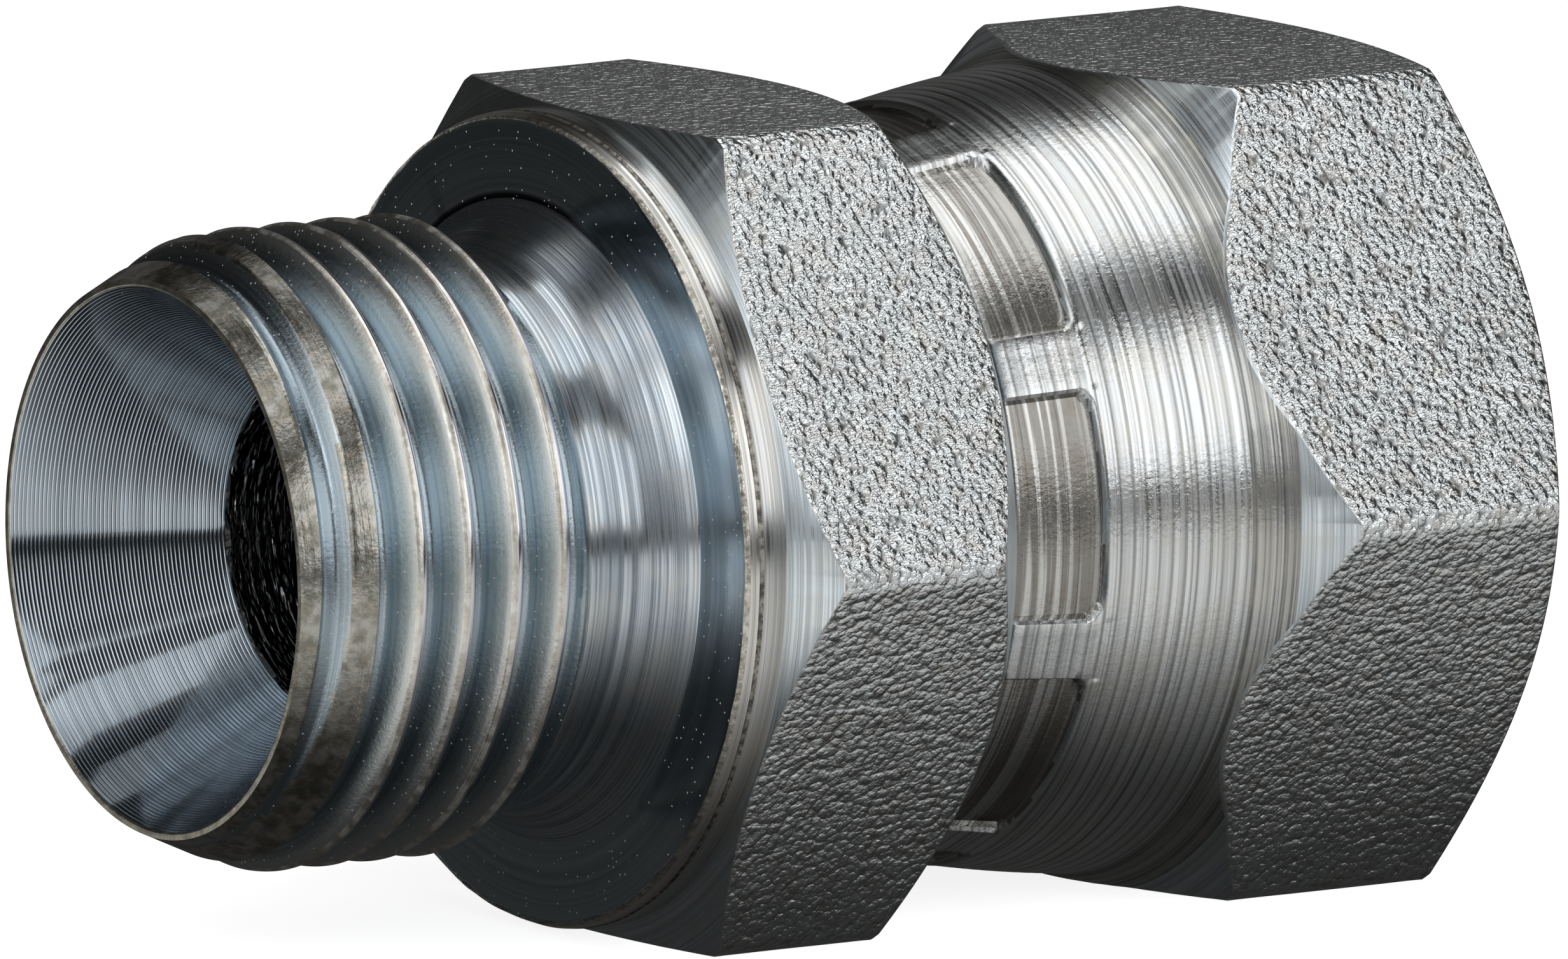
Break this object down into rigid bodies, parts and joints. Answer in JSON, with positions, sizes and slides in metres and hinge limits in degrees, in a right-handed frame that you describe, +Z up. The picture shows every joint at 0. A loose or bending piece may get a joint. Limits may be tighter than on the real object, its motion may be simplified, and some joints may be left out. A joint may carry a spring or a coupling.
{
  "type": "hydraulic adapter",
  "caption": "Straight hydraulic adapter: male parallel pipe thread with a 60 degree cone seat, spanner hexagon, and a crimped-on swivel nut with a cone nose inside.",
  "frame": {"origin": "on the fitting's axis, in the collar's flat sealing face", "axes": "+X along the fitting's axis from the male end to the swivel nut, +Z up with the hexagons lying on their flats"},
  "size_m": [0.0459, 0.0308, 0.027],
  "materials": {
    "plated_steel_body": "zinc-plated, turned and rough-rolled flats",
    "plated_steel_nut": "zinc-plated, turned and rough-rolled flats",
    "seal_rubber": "matt"
  },
  "bodies": {
    "body": {"adapter_body": "plated_steel_body", "nose_seal": "seal_rubber"},
    "nut": {"swivel_nut": "plated_steel_nut"}
  },
  "joints": [
    {"name": "swivel", "type": "hinge", "parent": "body", "child": "nut", "pos_m": [0.0165, 0, 0], "axis": [1, 0, 0], "continuous": true}
  ]
}
